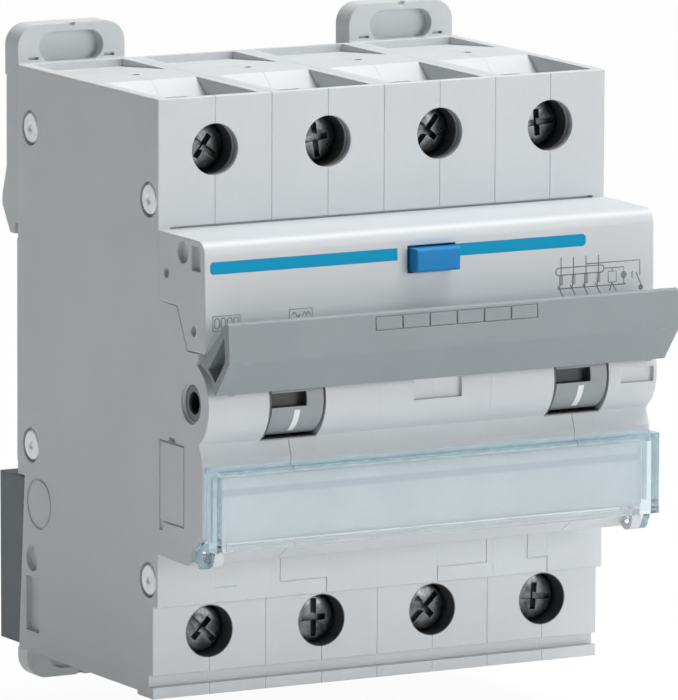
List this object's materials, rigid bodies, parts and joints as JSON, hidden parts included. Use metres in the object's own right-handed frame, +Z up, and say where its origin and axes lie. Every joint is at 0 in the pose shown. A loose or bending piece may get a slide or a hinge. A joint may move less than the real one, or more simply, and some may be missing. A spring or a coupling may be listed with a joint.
{
  "type": "residual current device",
  "caption": "Modular residual current device for a rail: half-shell housings, white front cover, cross-pole handle bar, test button and clear hinged label cover.",
  "frame": {"origin": "centre of the rail seat: the plane that lies on the front of the mounting rail, at mid width and at the middle of the rail", "axes": "+X to the right across the poles, -Y out of the front, +Z up along the rail's width"},
  "size_m": [0.0708, 0.0684, 0.0927],
  "materials": {
    "housing": "fine matt moulded grey",
    "front_white": "fine matt moulded white grey",
    "clear": "clear moulded",
    "card": "uncoated card",
    "bar_grey": "satin moulded grey",
    "drum_grey": "satin moulded grey",
    "button_blue": "satin moulded blue",
    "foot_dark": "matt moulded dark grey",
    "clip_grey": "satin moulded light grey",
    "zinc_steel": "zinc plated",
    "rivet_metal": "bright drawn",
    "copper": "bare copper",
    "bronze": "spring bronze",
    "fibre": "vulcanised fibre and steel plates",
    "enamelled_wire": "enamelled copper",
    "core_strip": "wound strip",
    "relay_can": "black moulded",
    "board_green": "solder mask",
    "insulated_copper": "sleeved copper bar"
  },
  "bodies": {
    "case": {"pole_1_left": "housing", "pole_1_right": "housing", "pole_2_left": "housing", "pole_2_right": "housing", "pole_3_left": "housing", "pole_3_right": "housing", "pole_4_left": "housing", "pole_4_right": "housing", "front_cover": "front_white", "label_card": "card", "rivets": "rivet_metal", "rail_foot": "foot_dark", "line_contact_1": "copper", "line_contact_2": "copper", "line_contact_3": "copper", "line_contact_4": "copper", "arc_chute_1": "fibre", "arc_chute_2": "fibre", "arc_chute_3": "fibre", "arc_chute_4": "fibre", "trip_coils": "enamelled_wire", "bimetals": "zinc_steel", "load_conductors": "insulated_copper", "toroid_core": "core_strip", "toroid_winding": "enamelled_wire", "trip_relay": "relay_can", "circuit_board": "board_green", "test_spring": "zinc_steel", "test_contact": "bronze"},
    "handle": {"handle_bar": "bar_grey", "toggle_left": "drum_grey", "toggle_right": "drum_grey", "toggle_shaft": "bar_grey"},
    "contacts": {"contact_carrier": "relay_can", "contact_arm_1": "copper", "contact_arm_2": "copper", "contact_arm_3": "copper", "contact_arm_4": "copper"},
    "button": {"test_button": "button_blue"},
    "cover": {"label_cover": "clear"},
    "clip_top_left": {"rail_clip_top_left": "clip_grey"},
    "clip_bottom_left": {"rail_clip_bottom_left": "clip_grey"},
    "clip_top_right": {"rail_clip_top_right": "clip_grey"},
    "clip_bottom_right": {"rail_clip_bottom_right": "clip_grey"},
    "line_screw_1_body": {"line_screw_1": "zinc_steel"},
    "line_clamp_1_body": {"line_clamp_1": "zinc_steel"},
    "line_screw_2_body": {"line_screw_2": "zinc_steel"},
    "line_clamp_2_body": {"line_clamp_2": "zinc_steel"},
    "line_screw_3_body": {"line_screw_3": "zinc_steel"},
    "line_clamp_3_body": {"line_clamp_3": "zinc_steel"},
    "line_screw_4_body": {"line_screw_4": "zinc_steel"},
    "line_clamp_4_body": {"line_clamp_4": "zinc_steel"},
    "load_screw_1_body": {"load_screw_1": "zinc_steel"},
    "load_clamp_1_body": {"load_clamp_1": "zinc_steel"},
    "load_screw_2_body": {"load_screw_2": "zinc_steel"},
    "load_clamp_2_body": {"load_clamp_2": "zinc_steel"},
    "load_screw_3_body": {"load_screw_3": "zinc_steel"},
    "load_clamp_3_body": {"load_clamp_3": "zinc_steel"},
    "load_screw_4_body": {"load_screw_4": "zinc_steel"},
    "load_clamp_4_body": {"load_clamp_4": "zinc_steel"}
  },
  "joints": [
    {"name": "handle_tilt", "type": "hinge", "parent": "case", "child": "handle", "pos_m": [0, -0.0521, -0.0001], "axis": [1, 0, 0], "range_deg": [0, 70]},
    {"name": "contact_swing", "type": "hinge", "parent": "case", "child": "contacts", "pos_m": [0, -0.0275, 0.002], "axis": [1, 0, 0], "range_deg": [0, 20]},
    {"name": "button_press", "type": "slide", "parent": "case", "child": "button", "axis": [0, 1, 0], "range_m": [0, 0.0016], "stiffness_N_per_m": 900, "springref_m": -0.0018, "deforming": ["test_spring"]},
    {"name": "cover_open", "type": "hinge", "parent": "case", "child": "cover", "pos_m": [0, -0.0543, -0.0211], "axis": [1, 0, 0], "range_deg": [0, 100]},
    {"name": "clip_top_left_slide", "type": "slide", "parent": "case", "child": "clip_top_left", "axis": [0, 0, 1], "range_m": [0, 0.004]},
    {"name": "clip_bottom_left_slide", "type": "slide", "parent": "case", "child": "clip_bottom_left", "axis": [0, 0, -1], "range_m": [0, 0.004]},
    {"name": "clip_top_right_slide", "type": "slide", "parent": "case", "child": "clip_top_right", "axis": [0, 0, 1], "range_m": [0, 0.004]},
    {"name": "clip_bottom_right_slide", "type": "slide", "parent": "case", "child": "clip_bottom_right", "axis": [0, 0, -1], "range_m": [0, 0.004]},
    {"name": "line_screw_1_turn", "type": "hinge", "parent": "case", "child": "line_screw_1_body", "pos_m": [-0.02655, -0.0386, 0.0331], "axis": [0, 1, 0], "range_deg": [0, 1352.3]},
    {"name": "line_clamp_1_lift", "type": "slide", "parent": "case", "child": "line_clamp_1_body", "axis": [0, -1, 0], "range_m": [0, 0.003]},
    {"name": "line_screw_2_turn", "type": "hinge", "parent": "case", "child": "line_screw_2_body", "pos_m": [-0.00885, -0.0386, 0.0331], "axis": [0, 1, 0], "range_deg": [0, 1352.3]},
    {"name": "line_clamp_2_lift", "type": "slide", "parent": "case", "child": "line_clamp_2_body", "axis": [0, -1, 0], "range_m": [0, 0.003]},
    {"name": "line_screw_3_turn", "type": "hinge", "parent": "case", "child": "line_screw_3_body", "pos_m": [0.00885, -0.0386, 0.0331], "axis": [0, 1, 0], "range_deg": [0, 1352.3]},
    {"name": "line_clamp_3_lift", "type": "slide", "parent": "case", "child": "line_clamp_3_body", "axis": [0, -1, 0], "range_m": [0, 0.003]},
    {"name": "line_screw_4_turn", "type": "hinge", "parent": "case", "child": "line_screw_4_body", "pos_m": [0.02655, -0.0386, 0.0331], "axis": [0, 1, 0], "range_deg": [0, 1352.3]},
    {"name": "line_clamp_4_lift", "type": "slide", "parent": "case", "child": "line_clamp_4_body", "axis": [0, -1, 0], "range_m": [0, 0.003]},
    {"name": "load_screw_1_turn", "type": "hinge", "parent": "case", "child": "load_screw_1_body", "pos_m": [-0.02655, -0.0386, -0.0343], "axis": [0, 1, 0], "range_deg": [0, 1352.3]},
    {"name": "load_clamp_1_lift", "type": "slide", "parent": "case", "child": "load_clamp_1_body", "axis": [0, -1, 0], "range_m": [0, 0.003]},
    {"name": "load_screw_2_turn", "type": "hinge", "parent": "case", "child": "load_screw_2_body", "pos_m": [-0.00885, -0.0386, -0.0343], "axis": [0, 1, 0], "range_deg": [0, 1352.3]},
    {"name": "load_clamp_2_lift", "type": "slide", "parent": "case", "child": "load_clamp_2_body", "axis": [0, -1, 0], "range_m": [0, 0.003]},
    {"name": "load_screw_3_turn", "type": "hinge", "parent": "case", "child": "load_screw_3_body", "pos_m": [0.00885, -0.0386, -0.0343], "axis": [0, 1, 0], "range_deg": [0, 1352.3]},
    {"name": "load_clamp_3_lift", "type": "slide", "parent": "case", "child": "load_clamp_3_body", "axis": [0, -1, 0], "range_m": [0, 0.003]},
    {"name": "load_screw_4_turn", "type": "hinge", "parent": "case", "child": "load_screw_4_body", "pos_m": [0.02655, -0.0386, -0.0343], "axis": [0, 1, 0], "range_deg": [0, 1352.3]},
    {"name": "load_clamp_4_lift", "type": "slide", "parent": "case", "child": "load_clamp_4_body", "axis": [0, -1, 0], "range_m": [0, 0.003]}
  ],
  "couplings": [
    {"joint": "contact_swing", "follows": "handle_tilt", "ratio": 0.28571},
    {"joint": "line_screw_1_turn", "follows": "line_clamp_1_lift", "rad_per_m": 7854},
    {"joint": "line_screw_2_turn", "follows": "line_clamp_2_lift", "rad_per_m": 7854},
    {"joint": "line_screw_3_turn", "follows": "line_clamp_3_lift", "rad_per_m": 7854},
    {"joint": "line_screw_4_turn", "follows": "line_clamp_4_lift", "rad_per_m": 7854},
    {"joint": "load_screw_1_turn", "follows": "load_clamp_1_lift", "rad_per_m": 7854},
    {"joint": "load_screw_2_turn", "follows": "load_clamp_2_lift", "rad_per_m": 7854},
    {"joint": "load_screw_3_turn", "follows": "load_clamp_3_lift", "rad_per_m": 7854},
    {"joint": "load_screw_4_turn", "follows": "load_clamp_4_lift", "rad_per_m": 7854}
  ]
}
